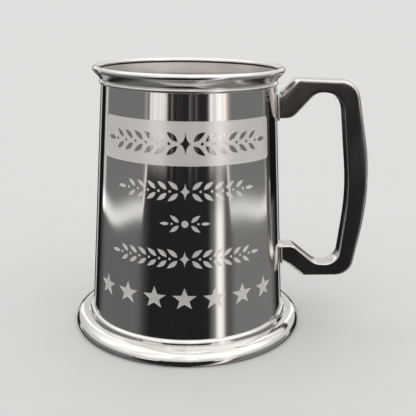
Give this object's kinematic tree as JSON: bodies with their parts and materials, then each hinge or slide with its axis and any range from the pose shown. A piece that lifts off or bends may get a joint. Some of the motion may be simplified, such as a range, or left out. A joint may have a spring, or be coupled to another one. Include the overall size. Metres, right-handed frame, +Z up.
{
  "type": "tankard",
  "caption": "Tapered pewter tankard with a rolled lip, a stepped skirt foot, an angular loop handle and an engraved front.",
  "frame": {"origin": "on the body axis at table level, in the plane of the foot's standing ring", "axes": "+Z up along the body axis, +X towards the handle, -Y towards the engraved front"},
  "size_m": [0.1362, 0.1064, 0.12],
  "materials": {
    "polished_body": "pewter polished to a mirror outside, satin-turned inside, frosted where it is engraved",
    "polished_lip": "cast pewter, turned and polished",
    "polished_foot": "cast pewter, turned and polished",
    "cast_handle": "cast pewter, filed and polished",
    "cast_pad": "cast pewter, polished",
    "turned_base": "pewter, satin lathe-turned",
    "solder": "soft tin solder, scraped flush"
  },
  "bodies": {
    "root": {"barrel": "polished_body", "lip_ring": "polished_lip", "lip_solder": "solder", "base_disc": "turned_base", "base_solder": "solder", "foot_ring": "polished_foot", "foot_solder": "solder", "handle": "cast_handle", "upper_pad": "cast_pad", "upper_solder": "solder", "lower_pad": "cast_pad", "lower_solder": "solder"}
  },
  "joints": []
}
